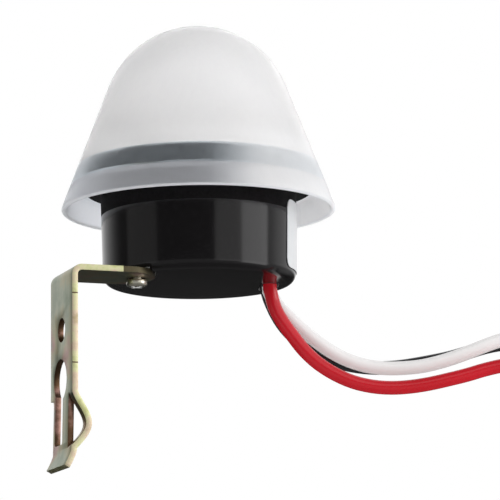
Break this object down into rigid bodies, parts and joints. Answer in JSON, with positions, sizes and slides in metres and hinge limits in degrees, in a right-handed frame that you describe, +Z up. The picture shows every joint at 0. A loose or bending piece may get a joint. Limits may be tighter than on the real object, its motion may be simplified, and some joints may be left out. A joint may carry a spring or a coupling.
{
  "type": "photocell switch",
  "caption": "Dusk-to-dawn light switch: frosted dome on a round black base, sheet-metal wall bracket with keyhole, and connection leads.",
  "frame": {"origin": "on the bracket's outer face, on its centreline, between the small fixing hole and the keyhole", "axes": "-X out of the bracket's outer face, towards the wall or pole; +Z up, along the bracket and the dome's axis; +Y across the bracket"},
  "size_m": [0.1258, 0.0672, 0.1046],
  "materials": {
    "dome": "frosted translucent white",
    "housing": "glossy moulded black",
    "seal": "matt black",
    "label": "blank white paper label",
    "bracket": "yellow zinc passivated sheet",
    "screw": "bright zinc",
    "board": "resin bonded laminate",
    "relay_case": "moulded blue",
    "film_case": "moulded yellow",
    "can_sleeve": "shrunk sleeve",
    "black_part": "moulded black",
    "zener_glass": "amber glass body",
    "resistor_body": "lacquered",
    "varistor_coat": "epoxy coat",
    "light_cell": "clear coated ceramic",
    "red_insulation": "satin vinyl",
    "white_insulation": "satin vinyl",
    "black_insulation": "satin vinyl",
    "tinned_copper": "tinned wire"
  },
  "bodies": {
    "root": {"dome_cover": "dome", "base_housing": "housing", "cable_seal": "seal", "rating_label": "label", "mounting_bracket": "bracket", "bracket_screw": "screw", "circuit_board": "board", "board_screw_1": "screw", "board_screw_2": "screw", "relay": "relay_case", "film_capacitor": "film_case", "electrolytic_capacitor": "can_sleeve", "rectifier_diode_1": "black_part", "rectifier_diode_2": "black_part", "rectifier_diode_3": "black_part", "rectifier_diode_4": "black_part", "zener_diode": "zener_glass", "resistor_1": "resistor_body", "resistor_2": "resistor_body", "resistor_3": "resistor_body", "transistor": "black_part", "varistor": "varistor_coat", "photoresistor": "light_cell", "lead_tail_red": "red_insulation", "lead_tail_white": "white_insulation", "lead_tail_black": "black_insulation", "lead_red": "red_insulation", "lead_white": "white_insulation", "lead_black": "black_insulation", "lead_end_red": "tinned_copper", "lead_end_white": "tinned_copper", "lead_end_black": "tinned_copper"}
  },
  "joints": []
}
